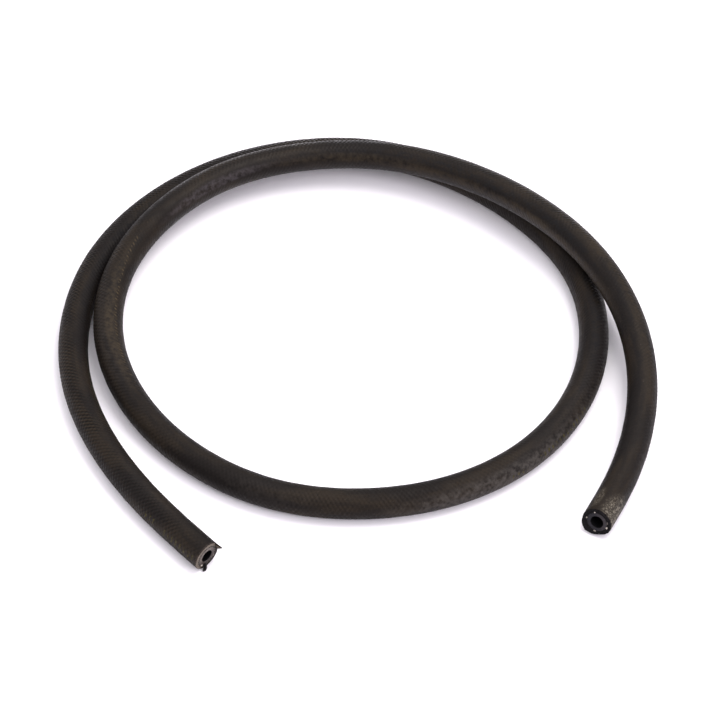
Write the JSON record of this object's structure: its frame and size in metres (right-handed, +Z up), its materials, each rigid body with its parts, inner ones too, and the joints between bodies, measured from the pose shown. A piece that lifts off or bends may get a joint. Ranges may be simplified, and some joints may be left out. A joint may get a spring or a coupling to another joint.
{
  "type": "oil hose",
  "caption": "Flexible rubber oil hose with a textile-reinforced wall, both ends cut bare, lying on a level surface in a loose loop and a half that crosses over itself.",
  "frame": {"origin": "on the floor, under the middle of the loop's outer box", "axes": "+Z up from the floor, -Y towards the open side of the loop where both cut ends point, +X to the right seen from there, along the loop's widest extent"},
  "size_m": [0.2032, 0.1981, 0.0213],
  "materials": {
    "cover_rubber": "matt black rubber with a fine slanting weave mark, scuffed and dusty in places",
    "braid_yarn": "natural cotton or rayon yarn, seen only as cut ends",
    "liner_rubber": "smooth grey-black rubber, matt where it is cut"
  },
  "bodies": {
    "root": {"outer_cover": "cover_rubber", "textile_braid": "braid_yarn", "inner_tube": "liner_rubber"}
  },
  "joints": []
}
